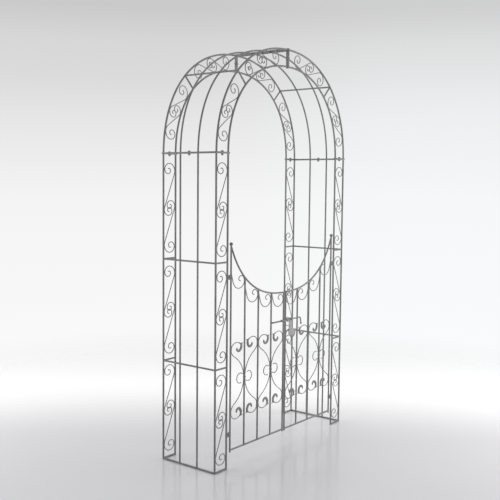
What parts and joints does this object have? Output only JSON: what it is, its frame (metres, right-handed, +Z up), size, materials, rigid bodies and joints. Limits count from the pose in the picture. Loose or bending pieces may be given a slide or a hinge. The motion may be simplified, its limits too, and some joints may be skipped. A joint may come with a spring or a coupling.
{
  "type": "garden arch with gate",
  "caption": "Free-standing metal garden arch with scrolled side panels, a round scrolled top and a latched two-leaf gate with heart ornaments.",
  "frame": {"origin": "on the ground at the middle of the plan, halfway between the pillars and between the front and back faces", "axes": "+X across the passage from the left pillar to the right one, +Y through the passage from the gate's face to the back, +Z up"},
  "size_m": [1.265, 0.4085, 2.3275],
  "materials": {
    "grey_paint": "satin mid-grey paint over steel bar",
    "plated_fasteners": "zinc-plated hexagon bolts and nuts, dull",
    "galvanised_plate": "light grey galvanised sheet, satin"
  },
  "bodies": {
    "frame": {"crown_back_bolt": "plated_fasteners", "crown_back_nut": "plated_fasteners", "crown_front_bolt": "plated_fasteners", "crown_front_nut": "plated_fasteners", "crown_top_bolt": "plated_fasteners", "crown_top_nut": "plated_fasteners", "left_arch_back_scroll_panel": "grey_paint", "left_arch_crown_strip": "grey_paint", "left_arch_foot_strip": "grey_paint", "left_arch_front_scroll_panel": "grey_paint", "left_back_scroll_panel": "grey_paint", "left_back_springing_bolt": "plated_fasteners", "left_back_springing_nut": "plated_fasteners", "left_front_scroll_panel": "grey_paint", "left_front_springing_bolt": "plated_fasteners", "left_front_springing_nut": "plated_fasteners", "left_lower_hinge_bracket": "grey_paint", "left_roof_panel": "grey_paint", "left_side_panel": "grey_paint", "left_side_springing_bolt": "plated_fasteners", "left_side_springing_nut": "plated_fasteners", "left_top_strip": "grey_paint", "left_upper_hinge_bracket": "grey_paint", "right_arch_back_scroll_panel": "grey_paint", "right_arch_crown_strip": "grey_paint", "right_arch_foot_strip": "grey_paint", "right_arch_front_scroll_panel": "grey_paint", "right_back_scroll_panel": "grey_paint", "right_back_springing_bolt": "plated_fasteners", "right_back_springing_nut": "plated_fasteners", "right_front_scroll_panel": "grey_paint", "right_front_springing_bolt": "plated_fasteners", "right_front_springing_nut": "plated_fasteners", "right_lower_hinge_bracket": "grey_paint", "right_roof_panel": "grey_paint", "right_side_panel": "grey_paint", "right_side_springing_bolt": "plated_fasteners", "right_side_springing_nut": "plated_fasteners", "right_top_strip": "grey_paint", "right_upper_hinge_bracket": "grey_paint"},
    "left_leaf": {"left_gate_finial": "grey_paint", "left_gate_hinge_stile": "grey_paint", "left_gate_inner_heart": "grey_paint", "left_gate_meeting_stile": "grey_paint", "left_gate_outer_heart": "grey_paint", "left_gate_rods": "grey_paint", "left_gate_top_rail": "grey_paint", "gate_latch_keeper": "grey_paint"},
    "right_leaf": {"right_gate_finial": "grey_paint", "right_gate_hinge_stile": "grey_paint", "right_gate_inner_heart": "grey_paint", "right_gate_meeting_stile": "grey_paint", "right_gate_outer_heart": "grey_paint", "right_gate_rods": "grey_paint", "right_gate_top_rail": "grey_paint", "gate_lock_plate": "galvanised_plate"},
    "latch_bolt": {"gate_slide_bolt": "grey_paint"}
  },
  "joints": [
    {"name": "left_leaf_swing", "type": "hinge", "parent": "frame", "child": "left_leaf", "pos_m": [-0.512, -0.19, 0.6], "axis": [0, 0, 1], "range_deg": [-120, 90]},
    {"name": "right_leaf_swing", "type": "hinge", "parent": "frame", "child": "right_leaf", "pos_m": [0.512, -0.19, 0.6], "axis": [0, 0, 1], "range_deg": [-90, 120]},
    {"name": "latch_slide", "type": "slide", "parent": "right_leaf", "child": "latch_bolt", "axis": [-1, 0, 0], "range_m": [0, 0.045]}
  ]
}
